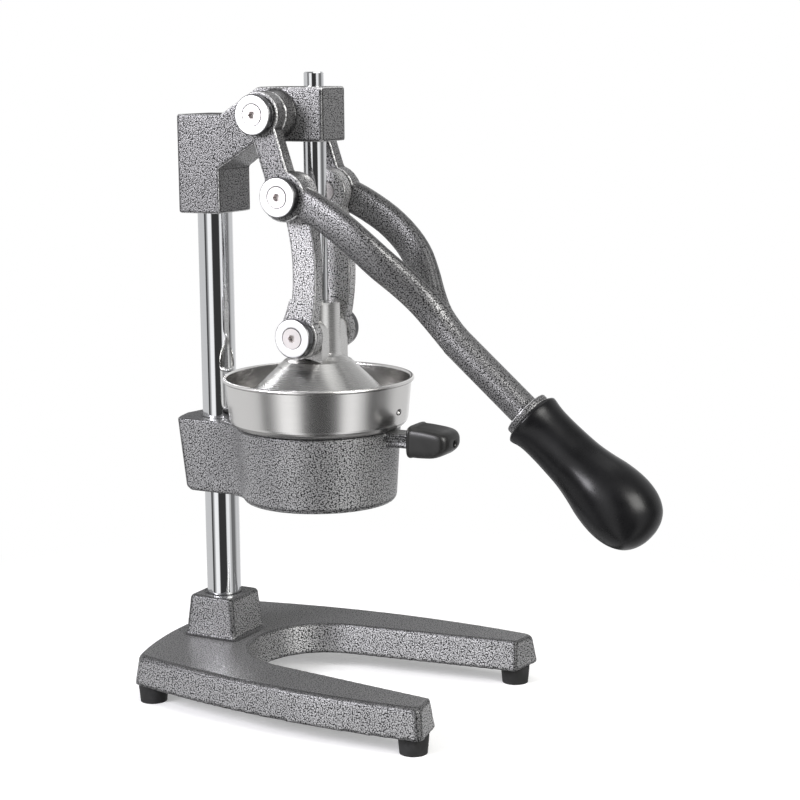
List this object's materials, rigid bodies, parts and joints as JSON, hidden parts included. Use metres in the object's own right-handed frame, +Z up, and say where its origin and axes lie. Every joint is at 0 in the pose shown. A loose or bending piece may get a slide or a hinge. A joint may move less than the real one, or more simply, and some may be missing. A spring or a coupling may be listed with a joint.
{
  "type": "lever citrus press",
  "caption": "Upright lever press for citrus halves: horseshoe base, chromed column, steel cup in a ring, and a forked lever whose curved links drive a guided bell-shaped press",
  "frame": {"origin": "on the counter, under the axis of the press rod", "axes": "+X from the column to the open end of the base and the handle, +Y across the lever's pivots, +Z up along the press rod"},
  "size_m": [0.3828, 0.2028, 0.4475],
  "materials": {
    "hammered_paint": "grey hammertone enamel over cast metal",
    "chrome_plate": "bright chrome plate on steel",
    "brushed_stainless": "spun and brushed stainless sheet",
    "satin_casting": "satin turned casting",
    "polished_caps": "bright turned",
    "screw_steel": "plain turned steel",
    "black_plastic": "moulded, soft gloss",
    "foot_rubber": "matt black rubber"
  },
  "bodies": {
    "frame": {"base_casting": "hammered_paint", "rubber_feet": "foot_rubber", "foot_screws": "screw_steel", "base_set_screw": "screw_steel", "column_tube": "chrome_plate", "bowl_bracket": "hammered_paint", "bracket_set_screw": "screw_steel", "side_grip": "black_plastic", "side_grip_screw": "screw_steel", "juice_cup": "brushed_stainless", "strainer_cone": "brushed_stainless", "head_casting": "hammered_paint", "head_set_screws": "screw_steel", "top_pivot_shaft": "screw_steel", "near_top_cap": "polished_caps", "far_top_cap": "polished_caps", "top_cap_screws": "screw_steel"},
    "lever": {"lever_yoke": "hammered_paint", "lever_handle": "black_plastic", "near_elbow_pin": "screw_steel", "far_elbow_pin": "screw_steel", "near_elbow_cap": "polished_caps", "far_elbow_cap": "polished_caps", "elbow_cap_screws": "screw_steel"},
    "press": {"guide_rod": "chrome_plate", "press_head": "satin_casting", "rod_screw": "screw_steel", "near_lower_pin": "screw_steel", "far_lower_pin": "screw_steel", "near_lower_cap": "polished_caps", "far_lower_cap": "polished_caps", "lower_cap_screws": "screw_steel"},
    "near_curved_link": {"near_link": "hammered_paint", "near_link_stub": "screw_steel"},
    "far_curved_link": {"far_link": "hammered_paint", "far_link_stub": "screw_steel"}
  },
  "joints": [
    {"name": "lever_swing", "type": "hinge", "parent": "frame", "child": "lever", "pos_m": [-0.0214, 0, 0.419], "axis": [0, -1, 0], "range_deg": [0, 80]},
    {"name": "press_slide", "type": "slide", "parent": "frame", "child": "press", "axis": [0, 0, 1], "range_m": [0, 0.0707]},
    {"name": "near_link_pivot", "type": "hinge", "parent": "press", "child": "near_curved_link", "pos_m": [0, 0, 0.2654], "axis": [0, 1, 0], "range_deg": [0, 23.61]},
    {"name": "far_link_pivot", "type": "hinge", "parent": "press", "child": "far_curved_link", "pos_m": [0, 0, 0.2654], "axis": [0, 1, 0], "range_deg": [0, 23.61]}
  ],
  "couplings": [
    {"joint": "press_slide", "follows": "lever_swing", "m_per_rad": 0.050571},
    {"joint": "near_link_pivot", "follows": "lever_swing", "ratio": 0.2945},
    {"joint": "far_link_pivot", "follows": "lever_swing", "ratio": 0.2945}
  ]
}
